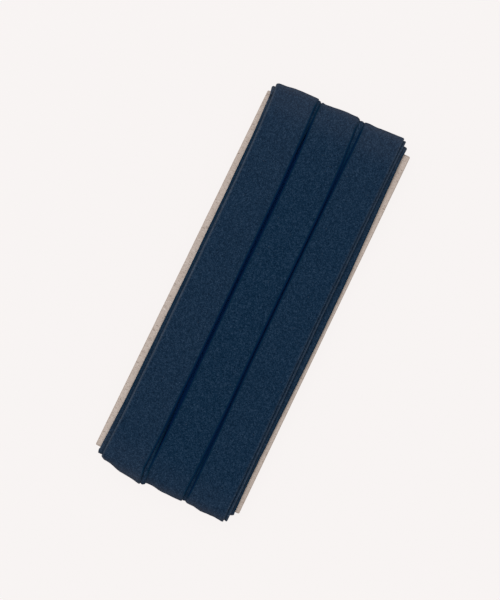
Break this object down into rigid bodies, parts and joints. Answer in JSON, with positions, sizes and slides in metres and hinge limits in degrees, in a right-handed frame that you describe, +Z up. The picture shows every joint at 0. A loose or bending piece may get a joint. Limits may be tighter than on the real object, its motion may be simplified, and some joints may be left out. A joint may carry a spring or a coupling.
{
  "type": "card of bias tape",
  "caption": "Folded navy bias tape wound lengthwise in side-by-side lanes round a flat greyboard card, for binding and facing fabric edges.",
  "frame": {"origin": "centre of the lowest face, which lies on the surface, under the middle of the whole part", "axes": "+X across the card to the right of the front, +Y along the card to its top end, +Z up out of the front"},
  "size_m": [0.054, 0.144, 0.0098],
  "materials": {
    "card": "uncoated grey-beige board, matt, with fine fibre flecks",
    "tape": "matt navy woven cotton cut on the bias, pressed into folds"
  },
  "bodies": {
    "root": {"card": "card", "tape": "tape"}
  },
  "joints": []
}
